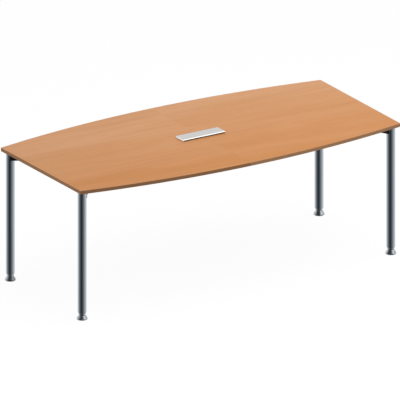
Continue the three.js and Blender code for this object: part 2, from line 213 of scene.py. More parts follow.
chrome = chrome_finish()
leg_bore = leg_radius - leg_wall
leg_outline = round_corners([
    (leg_bore, leg_foot, 0),
    (leg_radius, leg_foot, fine_arris),
    (leg_radius, leg_top, fine_arris),
    (leg_bore, leg_top, 0),
])
round_leg, leg_faces = turned(leg_outline, turned_segments)
for corner in corners:
    leg = new_piece(f"leg_{corner}", shifted(round_leg, leg_axis(corner)), leg_faces, chrome)
    smooth(leg)
    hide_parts(f"leg_tube_{corner}")
    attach(leg, "table")

# Leg plugs: turned steel inserts pressed into the tubes' feet and chromed with them. Below the tube
# each tapers to the leveller, and inside it has a thread and a well for the leveller's collar.
plug_low, plug_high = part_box("leg_plug_near_left")
plug_top = plug_high.z
plug_cone_bottom = plug_low.z
plug_cone_radius = 0.020
plug_fit = 0.0003
stem_low, stem_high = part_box("leveller_stem_near_left")
stem_collar_radius = (stem_high.x - stem_low.x) / 2
well_radius = stem_collar_radius + plug_fit
well_top = 0.054
thread_bore = 0.0053
soft_arris = 0.0012
plug_outline = round_corners([
    (well_radius, plug_cone_bottom, 0),
    (plug_cone_radius, plug_cone_bottom, fine_arris),
    (leg_radius, leg_foot - plug_fit, soft_arris),
    (leg_bore - plug_fit, leg_foot - plug_fit, 0),
    (leg_bore - plug_fit, plug_top, fine_arris),
    (thread_bore, plug_top, fine_arris),
    (thread_bore, well_top, 0),
    (well_radius, well_top, 0),
])
round_plug, plug_faces = turned(plug_outline, turned_segments)
for corner in corners:
    plug = new_piece(f"plug_{corner}", shifted(round_plug, leg_axis(corner)), plug_faces, chrome)
    smooth(plug)
    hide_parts(f"leg_plug_{corner}")
    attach(plug, "table")

# Leveller stems: turned steel, chromed like the legs. Each has a journal that turns in the foot pad,
# a round collar with two flats for a spanner, and an M10 thread, 1.5 mm pitch, in the plug.
journal_radius = 0.006
journal_bottom = stem_low.z
stem_collar_bottom = 0.027
stem_collar_top = 0.048
stem_collar_chamfer = 0.0008
stem_flats_width = 0.032
stem_top = stem_high.z
stem_point = 0.001
thread_core = 0.0043
thread_crest = 0.005
thread_pitch = 0.0015
thread_steps = 24
thread_sides = 6


def new_tree(name, sizes):
    """A geometry tree with a named input for each size, in metres, and one for the finish."""
    tree = bpy.data.node_groups.new(name, "GeometryNodeTree")
    tree.interface.new_socket("Geometry", in_out="INPUT", socket_type="NodeSocketGeometry")
    for size in sizes:
        tree.interface.new_socket(size, in_out="INPUT", socket_type="NodeSocketFloat")
    tree.interface.new_socket("Finish", in_out="INPUT", socket_type="NodeSocketMaterial")
    tree.interface.new_socket("Geometry", in_out="OUTPUT", socket_type="NodeSocketGeometry")
    return tree, tree.nodes.new("NodeGroupInput").outputs


def close_tree(tree, geometry, finish):
    """Ends a tree: instances made real, then the finish."""
    real = add(tree, "GeometryNodeRealizeInstances", {"Geometry": geometry})
    painted = {"Geometry": real.outputs["Geometry"], "Material": finish}
    done = add(tree, "GeometryNodeSetMaterial", painted)
    add(tree, "NodeGroupOutput", {"Geometry": done.outputs["Geometry"]})


def calculate(tree, operation, one, other):
    """One sum in a tree. Each side is a number or another node's output."""
    inputs = {0: one, 1: other}
    return add(tree, "ShaderNodeMath", inputs, operation=operation).outputs["Value"]


def vector(tree, x=0.0, y=0.0, z=0.0):
    """A vector in a tree. Each part is a number or another node's output."""
    return add(tree, "ShaderNodeCombineXYZ", {"X": x, "Y": y, "Z": z}).outputs["Vector"]


def lifted(tree, geometry, height):
    """A geometry moved up by a height."""
    moved = {"Geometry": geometry, "Translation": vector(tree, z=height)}
    return add(tree, "GeometryNodeTransform", moved).outputs["Geometry"]


def joined(tree, *parts):
    """Several geometries as one."""
    join = tree.nodes.new("GeometryNodeJoinGeometry")
    for part in parts:
        tree.links.new(part, join.inputs["Geometry"])
    return join.outputs["Geometry"]


def thread_tree():
    """Adds a thread's ridge, a helix from the Start height to the End, to a plain rod."""
    tree, size = new_tree("thread", ["Start", "End", "Pitch", "Core Radius", "Crest Radius"])
    length = calculate(tree, "SUBTRACT", size["End"], size["Start"])
    ridge = calculate(tree, "SUBTRACT", size["Crest Radius"], size["Core Radius"])
    helix = add(tree, "GeometryNodeCurveSpiral", {
        "Resolution": thread_steps,
        "Rotations": calculate(tree, "DIVIDE", length, size["Pitch"]),
        "Start Radius": size["Core Radius"],
        "End Radius": size["Core Radius"],
        "Height": length,
        "Reverse": False,
    })
    circle = {"Resolution": thread_sides, "Radius": ridge}
    section = add(tree, "GeometryNodeCurvePrimitiveCircle", circle)
    wound = add(tree, "GeometryNodeCurveToMesh", {
        "Curve": helix.outputs["Curve"],
        "Profile Curve": section.outputs["Curve"],
        "Fill Caps": True,
    })
    threaded = joined(tree, lifted(tree, wound.outputs["Mesh"], size["Start"]), size["Geometry"])
    close_tree(tree, threaded, size["Finish"])
    return tree


def grow(piece, tree, **values):
    """Runs a tree on a piece and keeps what it made as the piece's plain mesh."""
    modifier = piece.modifiers.new(tree.name, "NODES")
    modifier.node_group = tree
    for item in tree.interface.items_tree:
        key = item.name.replace(" ", "_").lower()
        if item.in_out == "INPUT" and key in values:
            modifier[item.identifier] = values[key]
    bake(piece, modifier)


def flattened(vertices, width, across):
    """Vertices of a round piece, with a flat on each side at right angles to a direction."""
    cut = []
    for vertex in vertices:
        reach = across.dot(vertex)
        excess = max(abs(reach) - width / 2, 0.0)
        cut.append(Vector(vertex) - across * math.copysign(excess, reach))
    return cut


thread = thread_tree()
round_stem, stem_faces = turned([
    (0, journal_bottom),
    (journal_radius, journal_bottom),
    (journal_radius, stem_collar_bottom),
    (stem_collar_radius - stem_collar_chamfer, stem_collar_bottom),
    (stem_collar_radius, stem_collar_bottom + stem_collar_chamfer),
    (stem_collar_radius, stem_collar_top - stem_collar_chamfer),
    (stem_collar_radius - stem_collar_chamfer, stem_collar_top),
    (thread_core, stem_collar_top),
    (thread_core, stem_top - stem_point),
    (thread_core - stem_point, stem_top),
    (0, stem_top),
], turned_segments)
for corner, (x, y) in corners.items():
    inward = Vector((-x, -y, 0)).normalized()
    vertices = flattened(round_stem, stem_flats_width, inward)
    stem = new_piece(f"stem_{corner}", vertices, stem_faces, chrome)
    grow(stem, thread, start=stem_collar_top, end=stem_top - thread_pitch, pitch=thread_pitch,
         core_radius=thread_core, crest_radius=thread_crest, finish=chrome)
    stem.data.transform(Matrix.Translation(leg_axis(corner)))
    smooth(stem)
    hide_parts(f"leveller_stem_{corner}")
    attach(stem, f"stem_{corner}")

# Foot pads: turned steel cones on a low round rim, brushed and satin chromed. The stem's journal turns
# in the pad's neck, so the pad stands still on the floor while the stem is screwed up or down.
pad_low, pad_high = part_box("foot_pad_near_left")
pad_radius = (pad_high.x - pad_low.x) / 2
pad_tread_radius = 0.027
pad_tread_height = 0.002
pad_rim_height = 0.007
pad_cone_top = 0.025
pad_neck_radius = 0.018
pad_neck_curve = 0.003
pad_top = pad_high.z
pad_socket_radius = 0.0063
pad_socket_floor = 0.0047


def satin_chrome_finish():
    """Satin chrome: plate over a brushed ground, so that it mirrors only softly."""
    made, tree, shader = new_finish("satin chrome", Metallic=1.0)
    tone = mix_colors(tree, grain(tree, (60, 60, 60)), srgb(190, 194, 198), srgb(202, 206, 210))
    tree.links.new(tone, shader.inputs["Base Color"])
    marks = grain(tree, (40, 40, 900), detail=4)
    tree.links.new(spread(tree, marks, 0.36, 0.48), shader.inputs["Roughness"])
    return made


satin_chrome = satin_chrome_finish()
pad_outline = round_corners([
    (0, 0, 0),
    (pad_tread_radius, 0, fine_arris),
    (pad_radius, pad_tread_height, fine_arris),
    (pad_radius, pad_rim_height, soft_arris),
    (pad_neck_radius, pad_cone_top, pad_neck_curve),
    (pad_neck_radius, pad_top, fine_arris),
    (pad_socket_radius, pad_top, fine_arris),
    (pad_socket_radius, pad_socket_floor, 0),
    (0, pad_socket_floor, 0),
])
round_pad, pad_faces = turned(pad_outline, turned_segments)
for corner in corners:
    pad = new_piece(f"pad_{corner}", shifted(round_pad, leg_axis(corner)), pad_faces, satin_chrome)
    smooth(pad)
    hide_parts(f"foot_pad_{corner}")
    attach(pad, f"foot_{corner}")

# Corner brackets: cast steel, powder coated black. A saddle with thin lips wraps the leg's inner half,
# a waist reaches in along the diagonal, and two spigots at its end plug into the ends of the rails.
bracket_arris = 0.0007
least_eased_edge = 0.004
merge_distance = 1e-6
flat_angle = math.radians(0.5)
eased_angle = math.radians(25)


def black_coat_finish():
    """Black powder coat: a dull, fine orange-peel skin with slightly varying gloss."""
    made, tree, shader = new_finish("black coat", Specular_IOR_Level=0.35)
    patches = mix_colors(tree, grain(tree, (35, 35, 35)), srgb(20, 20, 22), srgb(29, 29, 31))
    tree.links.new(patches, shader.inputs["Base Color"])
    peel = grain(tree, (1100, 1100, 1100), detail=3)
    tree.links.new(spread(tree, peel, 0.42, 0.6), shader.inputs["Roughness"])
    tree.links.new(bump(tree, peel, 0.00008), shader.inputs["Normal"])
    return made


def new_copy(name, node, finish, arris=0.0):
    """A piece that stands for a CAD node: flat faces made whole, and longer sharp edges eased."""
    shape = bmesh.new()
    shape.from_mesh(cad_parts[node].data)
    bmesh.ops.remove_doubles(shape, verts=shape.verts, dist=merge_distance)
    bmesh.ops.dissolve_limit(shape, angle_limit=flat_angle, verts=shape.verts, edges=shape.edges)
    if arris:
        sharp = [edge for edge in shape.edges
                 if edge.calc_face_angle(0) > eased_angle and edge.calc_length() > least_eased_edge]
        bmesh.ops.bevel(shape, geom=sharp, offset=arris, segments=2, profile=0.5, affect="EDGES",
                        clamp_overlap=False)
    mesh = bpy.data.meshes.new(name)
    shape.to_mesh(mesh)
    shape.free()
    made = new_object(mesh, finish)
    smooth(made, sharp_angle=40)
    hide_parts(node)
    return made


black_coat = black_coat_finish()
for corner in corners:
    bracket = new_copy(f"bracket_{corner}", f"corner_bracket_{corner}", black_coat, bracket_arris)
    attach(bracket, "table")

# Leg bolts and nut plates: M8 cap bolts with a hexagon socket, zinc plated. Each runs out along the
# bracket and pulls the leg into the saddle by a half-round nut plate inside the tube.
leg_bolt_reach = 0.1183
small_segments = 24
shank_segments = 12
hexagon = 6
shank_tip_share = 0.7
cross_blade_ratio = 3.5
washer_top_share = 0.96
fastener_seed = 7
leg_bolt_sizes = {
    "head_diameter": 0.013,
    "top_diameter": 0.0122,
    "head_height": 0.008,
    "recess_width": 0.006,
    "recess_depth": 0.004,
    "shank_diameter": 0.008,
    "shank_length": 0.110,
}


def zinc_finish():
    """Zinc plate: dull silver, faintly mottled blue and yellow by its passivation."""
    made, tree, shader = new_finish("zinc", Metallic=1.0)
    mottle = grain(tree, (260, 260, 260), detail=3)
    tone = mix_colors(tree, mottle, srgb(172, 175, 182), srgb(202, 201, 193))
    tree.links.new(tone, shader.inputs["Base Color"])
    tree.links.new(spread(tree, mottle, 0.28, 0.44), shader.inputs["Roughness"])
    tree.links.new(bump(tree, grain(tree, (1500, 1500, 1500)), 0.00002), shader.inputs["Normal"])
    return made


def cone(tree, sides, bottom, top, height):
    """A closed cone from the origin up, with a diameter at each end."""
    return add(tree, "GeometryNodeMeshCone", {
        "Vertices": sides,
        "Radius Top": calculate(tree, "MULTIPLY", top, 0.5),
        "Radius Bottom": calculate(tree, "MULTIPLY", bottom, 0.5),
        "Depth": height,
    }).outputs["Mesh"]


def recess_tools(tree, size, recess):
    """What cuts the recess in a head: two crossed blades, a hexagon key or nothing."""
    width = size["Recess Width"]
    height = calculate(tree, "MULTIPLY", size["Recess Depth"], 2.0)
    if recess == "cross":
        length = calculate(tree, "MULTIPLY", width, cross_blade_ratio)
        blades = [vector(tree, length, width, height), vector(tree, width, length, height)]
        return [add(tree, "GeometryNodeMeshCube", {"Size": blade}).outputs["Mesh"] for blade in blades]
    if recess == "hexagon":
        corner_radius = calculate(tree, "DIVIDE", width, math.sqrt(3))
        key = {"Vertices": hexagon, "Radius": corner_radius, "Depth": height}
        return [add(tree, "GeometryNodeMeshCylinder", key).outputs["Mesh"]]
    return []


def fastener_shape(tree, size, recess, head_sides, washer):
    """One fastener with its seat at the origin, its head above and its shank below."""
    head = cone(tree, head_sides, size["Head Diameter"], size["Top Diameter"], size["Head Height"])
    for tool in recess_tools(tree, size, recess):
        cut = {"Mesh 1": head, "Mesh 2": lifted(tree, tool, size["Head Height"])}
        head = add(tree, "GeometryNodeMeshBoolean", cut, operation="DIFFERENCE",
                   solver="MANIFOLD").outputs["Mesh"]
    tip = calculate(tree, "MULTIPLY", size["Shank Diameter"], shank_tip_share)
    shank = cone(tree, shank_segments, tip, size["Shank Diameter"], size["Shank Length"])
    drop = calculate(tree, "MULTIPLY", size["Shank Length"], -1.0)
    parts = [head, lifted(tree, shank, drop)]
    if washer:
        rim = size["Washer Diameter"]
        top = calculate(tree, "MULTIPLY", rim, washer_top_share)
        parts.append(cone(tree, small_segments, rim, top, size["Washer Thickness"]))
    return joined(tree, *parts)


def fastener_tree(name, recess="", head_sides=small_segments, washer=False):
    """A fastener at each point: its seat there, its head out along the point's facing."""
    tree, size = new_tree(name, [
        "Head Diameter", "Top Diameter", "Head Height", "Recess Width", "Recess Depth",
        "Shank Diameter", "Shank Length", "Washer Diameter", "Washer Thickness",
    ])
    facing = add(tree, "GeometryNodeInputNamedAttribute", {"Name": "facing"},
                 data_type="FLOAT_VECTOR")
    aim = add(tree, "FunctionNodeAlignRotationToVector", {
        "Vector": facing.outputs["Attribute"]}, axis="Z")
    angle = add(tree, "FunctionNodeRandomValue", {
        "Min": 0.0, "Max": 2 * math.pi, "Seed": fastener_seed})
    twist = add(tree, "FunctionNodeAxisAngleToRotation", {
        "Axis": (0, 0, 1), "Angle": angle.outputs["Value"]})
    turn = add(tree, "FunctionNodeRotateRotation", {
        "Rotation": aim.outputs["Rotation"], "Rotate By": twist.outputs["Rotation"]},
        rotation_space="LOCAL")
    copies = add(tree, "GeometryNodeInstanceOnPoints", {
        "Points": size["Geometry"],
        "Instance": fastener_shape(tree, size, recess, head_sides, washer),
        "Rotation": turn.outputs["Rotation"],
    })
    close_tree(tree, copies.outputs["Instances"], size["Finish"])
    return tree


def new_fasteners(name, tree, places, finish, **sizes):
    """One piece of like fasteners, with one at each (seat, facing) place."""
    made = new_piece(name, [seat for seat, _ in places], [], finish)
    facing = made.data.attributes.new("facing", "FLOAT_VECTOR", "POINT")
    facing.data.foreach_set("vector", [part for _, way in places for part in way])
    grow(made, tree, finish=finish, **sizes)
    smooth(made)
    return made


zinc = zinc_finish()
leg_bolt_places = []
for corner, (x, y) in corners.items():
    low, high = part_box(f"leg_bolt_{corner}")
    inward = Vector((-x, -y, 0)).normalized()
    seat = leg_axis(corner) + inward * leg_bolt_reach
    seat.z = (low.z + high.z) / 2
    leg_bolt_places.append((seat, inward))
    nut_plate = new_copy(f"nut_{corner}", f"leg_nut_plate_{corner}", zinc)
    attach(nut_plate, "table")
leg_bolts = new_fasteners("leg_bolts", fastener_tree("cap bolts", recess="hexagon"),
                          leg_bolt_places, zinc, **leg_bolt_sizes)
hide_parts(*[f"leg_bolt_{corner}" for corner in corners])
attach(leg_bolts, "table")

# Rails: four lengths of 40 by 20 mm rectangular steel tube, powder coated black like the brackets.
# Their open ends slide over the brackets' spigots, which makes a ring under the top's edge.
rail_corner_radius = 0.003
rail_wall = 0.002
rails = ["long_rail_near", "long_rail_far", "end_rail_left", "end_rail_right"]


def rectangle(half_width, half_height, radius):
    """The closed outline of a rectangle with rounded corners."""
    return round_corners([
        (-half_width, -half_height, radius), (half_width, -half_height, radius),
        (half_width, half_height, radius), (-half_width, half_height, radius)])


def loft(loops):
    """Faces round a closed ring of loops with the same number of vertices."""
    vertices = [vertex for loop in loops for vertex in loop]
    count = len(loops[0])
    faces = []
    for level in range(len(loops)):
        here = level * count
        ahead = (level + 1) % len(loops) * count
        for i in range(count):
            beside = (i + 1) % count
            faces.append([here + i, here + beside, ahead + beside, ahead + i])
    return vertices, faces


for node in rails:
    low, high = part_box(node)
    middle = (low + high) / 2
    half = (high - low) / 2
    along_x = half.x > half.y
    half_length, half_thickness = (half.x, half.y) if along_x else (half.y, half.x)
    skin = rectangle(half_thickness, half.z, rail_corner_radius)
    bore = rectangle(half_thickness - rail_wall, half.z - rail_wall, rail_corner_radius - rail_wall)
    loops = []
    for outline, reach in ((skin, -1), (skin, 1), (bore, 1), (bore, -1)):
        distance = reach * half_length
        if along_x:
            loops.append([middle + Vector((distance, side, up)) for side, up in outline])
        else:
            loops.append([middle + Vector((-side, distance, up)) for side, up in outline])
    vertices, faces = loft(loops)
    rail = new_piece(f"tube_{node}", vertices, faces, black_coat)
    smooth(rail)
    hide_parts(node)
    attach(rail, "table")

# Spreaders: two folded steel channels across the middle, with a plate welded to each end, powder
# coated black. Hexagon bolts through the plates hold them between the long rails.
spreader_arris = 0.0008
spreader_bolt_spread = 0.020
spreader_plate_thickness = 0.004
spreader_bolt_sizes = {
    "head_diameter": 0.0115,
    "top_diameter": 0.0108,
    "head_height": 0.0052,
    "shank_diameter": 0.006,
    "shank_length": 0.009,
    "washer_diameter": 0.0125,
    "washer_thickness": 0.0012,
}
spreader_bolt_places = []
for side in ("left", "right"):
    spreader = new_copy(f"channel_{side}", f"spreader_{side}", black_coat, spreader_arris)
    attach(spreader, "table")
    low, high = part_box(f"spreader_{side}")
    middle = (low + high) / 2
    plate_faces = (low.y + spreader_plate_thickness, high.y - spreader_plate_thickness)
    for y, way in zip(plate_faces, (1, -1)):
        for offset in (-spreader_bolt_spread, spreader_bolt_spread):
            spreader_bolt_places.append(((middle.x + offset, y, middle.z), (0, way, 0)))
spreader_bolts = new_fasteners(
    "spreader_bolts", fastener_tree("hexagon bolts", head_sides=hexagon, washer=True),
    spreader_bolt_places, zinc, **spreader_bolt_sizes)
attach(spreader_bolts, "table")

# Boards: the top's two halves, 19 mm particle board with a beech-coloured laminate on top and a
# plain grey backing sheet below. The print's grain runs along the table, across the seam.
board_low, board_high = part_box("board_left")
board_underside = board_low.z
board_top = board_high.z
backing_thickness = 0.0008
# The far colour is both the print's paler tone in its clouds and a painted sheen that the print fades
# to across the table.
beech_near = srgb(212, 141, 77)
beech_far_tone_and_sheen = srgb(227, 168, 121)
beech_streak = srgb(192, 128, 72)
beech_fleck = srgb(168, 106, 58)
backing_sheet = srgb(96, 93, 90)
painted_sheen_half_span = 0.45
print_wobble = 0.4
fleck_range = (0.60, 0.72)
fleck_strength = 0.5
print_shifts = {"left": (0.0, 0.0, 0.0), "right": (3.7, 1.3, 0.0)}


def board_finish(name, shift):
    """Beech print: soft clouds and streaks along X, with short dark flecks, under satin laminate.
    Paler to the far side by a painted sheen.
    """
    made, tree, shader = new_finish(name, Specular_IOR_Level=0.2)
    place = add(tree, "ShaderNodeTexCoord").outputs["Object"]
    parts = add(tree, "ShaderNodeSeparateXYZ", {"Vector": place}).outputs
    print_shift = add(tree, "ShaderNodeMapping", {"Vector": place, "Location": shift})

    def lines(stretch, detail):
        """Noise drawn out along X, at this board's place in the print."""
        scaled = {"Vector": print_shift.outputs["Vector"], "Scale": stretch}
        noise = {"Vector": add(tree, "ShaderNodeMapping", scaled).outputs["Vector"],
                 "Scale": 1.0, "Detail": detail, "Distortion": print_wobble}
        return add(tree, "ShaderNodeTexNoise", noise).outputs["Fac"]

    clouds = spread(tree, lines((1.1, 5.0, 5.0), 3.0), -0.25, 0.25)
    # Painted sheen: across Y the print fades from the near colour to the paler far one, as if light
    # fell brighter on the far side.
    depth = add(tree, "ShaderNodeMapRange", {
        "Value": parts["Y"], "From Min": -painted_sheen_half_span, "From Max": painted_sheen_half_span})
    tone = calculate(tree, "ADD", depth.outputs["Result"], clouds)
    ground = mix_colors(tree, tone, beech_near, beech_far_tone_and_sheen)
    streaks = spread(tree, lines((1.6, 70.0, 70.0), 5.0), 0.0, 0.35)
    streaked = mix_colors(tree, streaks, ground, beech_streak)
    flecks = add(tree, "ShaderNodeMapRange", {
        "Value": lines((110.0, 1300.0, 1300.0), 1.0),
        "From Min": fleck_range[0], "From Max": fleck_range[1], "To Max": fleck_strength,
    }).outputs["Result"]
    printed = mix_colors(tree, flecks, streaked, beech_fleck)
    is_face = calculate(tree, "GREATER_THAN", parts["Z"], board_underside + backing_thickness)
    sheets = mix_colors(tree, is_face, backing_sheet, printed)
    tree.links.new(sheets, shader.inputs["Base Color"])
    tree.links.new(spread(tree, streaks, 0.46, 0.56), shader.inputs["Roughness"])
    tree.links.new(bump(tree, flecks, -0.00004), shader.inputs["Normal"])
    return made


for side, shift in print_shifts.items():
    panel = new_copy(f"panel_{side}", f"board_{side}", board_finish(f"beech laminate {side}", shift))
    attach(panel, "table")

# Edging: a 2 mm strip of wood-print plastic glued round the edge of each board, its arrises rounded
# over after trimming. It turns both outer corners in one length and stops at the seam.
edging_low, edging_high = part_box("edging_right")
table_half_length = edging_high.x
middle_half_width = edging_high.y
end_half_width = 0.4
edging_thickness = 0.002
edging_arris = 0.0012
edging_corner_radius = 0.003
seam_half_gap = edging_low.x
seam_easing = 0.0009
side_steps = 48
# The left strip takes the right's colours a shade darker: painted shade along the left half's edge.
edging_colors_and_painted_shade = {
    "left": (srgb(178, 132, 92), srgb(158, 112, 74)),
    "right": (srgb(198, 150, 110), srgb(178, 130, 90)),
}


def half_width(x):
    """Half the table's width at x: both long sides are arcs of one circle."""
    bow = middle_half_width - end_half_width
    radius = (table_half_length ** 2 + bow ** 2) / (2 * bow)
    return math.sqrt(radius ** 2 - x ** 2) - (radius - middle_half_width)


def edging_path():
    """The right half's outer edge, from the seam's near end round to its far end."""
    run = table_half_length - seam_half_gap
    stops = [seam_half_gap + run * step / side_steps for step in range(side_steps)]
    stops.insert(1, seam_half_gap + seam_easing)
    near = [(x, -half_width(x), 0) for x in stops]
    far = [(x, -y, 0) for x, y, _ in reversed(near)]
    ends = [(table_half_length, y, edging_corner_radius) for y in (-end_half_width, end_half_width)]
    return round_corners([*near, *ends, *far])


def edging_finish(name, light, dark):
    """Wood-print edging: fine lines along the strip, by the piece's own map, satin."""
    made, tree, shader = new_finish(name, Specular_IOR_Level=0.3)
    lines = grain(tree, (4, 700, 1), detail=4, coordinates="UV")
    clouds = grain(tree, (5, 30, 1), coordinates="UV")
    share = calculate(tree, "MULTIPLY", spread(tree, lines, 0.5, 1.0), spread(tree, clouds, 0.4, 1.0))
    tree.links.new(mix_colors(tree, share, light, dark), shader.inputs["Base Color"])
    tree.links.new(spread(tree, lines, 0.42, 0.55), shader.inputs["Roughness"])
    tree.links.new(bump(tree, lines, 0.00003), shader.inputs["Normal"])
    return made


def new_edging(name, mirror, finish):
    """The strip's rounded section, swept along the edge, with its length and girth as its map."""
    path = edging_path()
    section = round_corners([
        (edging_thickness, board_underside, 0), (0, board_underside, edging_arris),
        (0, board_top, edging_arris), (edging_thickness, board_top, 0)])
    shape = bmesh.new()
    map_layer = shape.loops.layers.uv.new("strip")
    spots = {}
    loops = []
    travelled = 0.0
    for i, (x, y) in enumerate(path):
        before = Vector(path[max(i - 1, 0)])
        after = Vector(path[min(i + 1, len(path) - 1)])
        along = (after - before).normalized()
        outward = Vector((along.y, -along.x))
        travelled += (Vector((x, y)) - before).length
        eased = seam_easing if i in (0, len(path) - 1) else 0.0
        girth = 0.0
        loop = []
        for j, (depth, height) in enumerate(section):
            girth += math.dist(section[j - 1], section[j]) if j else 0.0
            spot = Vector((x, y)) - outward * max(depth, eased)
            vertex = shape.verts.new((mirror * spot.x, spot.y, height))
            spots[vertex] = (travelled, girth)
            loop.append(vertex)
        loops.append(loop)
    for here, ahead in zip(loops, loops[1:]):
        for j in range(len(section)):
            shape.faces.new([here[j - 1], here[j], ahead[j], ahead[j - 1]])
    shape.faces.new(loops[0])
    shape.faces.new(loops[-1])
    for face in shape.faces:
        for corner in face.loops:
            corner[map_layer].uv = spots[corner.vert]
    bmesh.ops.recalc_face_normals(shape, faces=shape.faces)
    mesh = bpy.data.meshes.new(name)
    shape.to_mesh(mesh)
    shape.free()
    made = new_object(mesh, finish)
    smooth(made, sharp_angle=40)
    return made


for side, mirror in (("left", -1), ("right", 1)):
    strip_finish = edging_finish(f"edging {side}", *edging_colors_and_painted_shade[side])
    strip = new_edging(f"strip_{side}", mirror, strip_finish)
    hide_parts(f"edging_{side}")
    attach(strip, "table")

# Seam plates: two zinc-plated steel straps across the seam under the boards. Four pan-head wood
# screws with a cross recess hold each one, and draw the two halves level.
seam_arris = 0.0006
seam_screw_across = 0.045
seam_screw_along = 0.020
cross_screws = fastener_tree("cross-recess screws", recess="cross")
seam_screw_sizes = {
    "head_diameter": 0.008,
    "top_diameter": 0.0052,
    "head_height": 0.0026,
    "recess_width": 0.0012,
    "recess_depth": 0.0014,
    "shank_diameter": 0.004,
    "shank_length": 0.015,
}
seam_screw_places = []
for side in ("near", "far"):
    plate = new_copy(f"strap_{side}", f"seam_plate_{side}", zinc, seam_arris)
    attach(plate, "table")
    low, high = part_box(f"seam_plate_{side}")
    middle = (low + high) / 2
    for x in (-seam_screw_across, seam_screw_across):
        for y in (-seam_screw_along, seam_screw_along):
            seam_screw_places.append(((middle.x + x, middle.y + y, low.z), (0, 0, -1)))
seam_screws = new_fasteners("seam_screws", cross_screws, seam_screw_places, zinc, **seam_screw_sizes)
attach(seam_screws, "table")

# Board screws: two long zinc-plated wood screws at each bracket, with the same cross recess. They
# run up through the spigots and the rails' ends and hold the frame to the boards.
board_screw_sizes = {
    "head_diameter": 0.009,
    "top_diameter": 0.0058,
    "head_height": 0.003,
    "recess_width": 0.0014,
    "recess_depth": 0.0016,
    "shank_diameter": 0.005,
    "shank_length": 0.055,
}
board_screw_nodes = [f"board_screw_{corner}_{end}" for corner in corners for end in "ab"]
board_screw_places = []
for node in board_screw_nodes:
    low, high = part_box(node)
    middle = (low + high) / 2
    head_seat = low.z + board_screw_sizes["head_height"]
    board_screw_places.append(((middle.x, middle.y, head_seat), (0, 0, -1)))
board_screws = new_fasteners("board_screws", cross_screws, board_screw_places, zinc,
                             **board_screw_sizes)
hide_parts(*board_screw_nodes)
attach(board_screws, "table")

# Flap collar: a moulded black plastic frame that lines the cable port. Its flange lies on the top,
# four small screws hold it down, and its two rear lugs carry the lid's hinge pins.
collar_arris = 0.0004
flap_screw_sizes = {
    "head_diameter": 0.0065,
    "top_diameter": 0.0042,
    "head_height": 0.0016,
    "recess_width": 0.0010,
    "recess_depth": 0.0010,
    "shank_diameter": 0.0035,
    "shank_length": 0.016,
}


def black_plastic_finish():
    """Moulded black plastic: a fine spark-eroded grain that breaks up its sheen."""
    made, tree, shader = new_finish("black plastic", Specular_IOR_Level=0.4)
    shade = mix_colors(tree, grain(tree, (60, 60, 60)), srgb(24, 24, 25), srgb(32, 32, 33))
    tree.links.new(shade, shader.inputs["Base Color"])
    pits = grain(tree, (1700, 1700, 1700), detail=2)
    tree.links.new(spread(tree, pits, 0.45, 0.62), shader.inputs["Roughness"])
    tree.links.new(bump(tree, pits, 0.00006), shader.inputs["Normal"])
    return made


collar = new_copy("collar", "flap_collar", black_plastic_finish(), collar_arris)
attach(collar, "table")
flap_screw_nodes = [f"flap_screw_{number}" for number in range(1, 5)]
flap_screw_places = []
for node in flap_screw_nodes:
    low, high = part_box(node)
    middle = (low + high) / 2
    head_seat = high.z - flap_screw_sizes["head_height"]
    flap_screw_places.append(((middle.x, middle.y, head_seat), (0, 0, 1)))
flap_screws = new_fasteners("flap_screws", cross_screws, flap_screw_places, zinc, **flap_screw_sizes)
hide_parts(*flap_screw_nodes)
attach(flap_screws, "table")

# Hinge pins: two short steel rods, zinc plated, with chamfered ends. Each sits in a lug of the
# collar and in a cheek of the lid, and the lid turns on them.
pin_chamfer = 0.0003
for side in ("left", "right"):
    low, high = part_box(f"flap_hinge_pin_{side}")
    middle = (low + high) / 2
    half_length = (high.x - low.x) / 2
    pin_radius = (high.y - low.y) / 2
    vertices, faces = turned([
        (0, -half_length), (pin_radius - pin_chamfer, -half_length),
        (pin_radius, -half_length + pin_chamfer), (pin_radius, half_length - pin_chamfer),
        (pin_radius - pin_chamfer, half_length), (0, half_length)], small_segments)
    # The pin is turned about Z, then laid down along X.
    laid = [middle + Vector((z, x, y)) for x, y, z in vertices]
    pin = new_piece(f"pin_{side}", laid, faces, zinc)
    smooth(pin)
    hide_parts(f"flap_hinge_pin_{side}")
    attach(pin, "table")

# Flap lid: an aluminium extrusion cut to length, brushed along its length and silver anodised. Its
# near edge slopes down to a nose, and a sloping cheek at each end turns on a hinge pin.
lid_arris = 0.0002


def anodised_finish():
    """Silver anodised aluminium: fine brush lines along X in its gloss and its relief."""
    made, tree, shader = new_finish("anodised", Metallic=0.85)
    lines = grain(tree, (7, 1600, 1600), detail=4)
    patches = grain(tree, (10, 25, 25))
    tone = mix_colors(tree, patches, srgb(226, 224, 221), srgb(236, 233, 229))
    tree.links.new(tone, shader.inputs["Base Color"])
    tree.links.new(spread(tree, lines, 0.24, 0.40), shader.inputs["Roughness"])
    tree.links.new(bump(tree, lines, 0.00004), shader.inputs["Normal"])
    return made


lid = new_copy("lid", "flap_lid", anodised_finish(), lid_arris)
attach(lid, "flap")

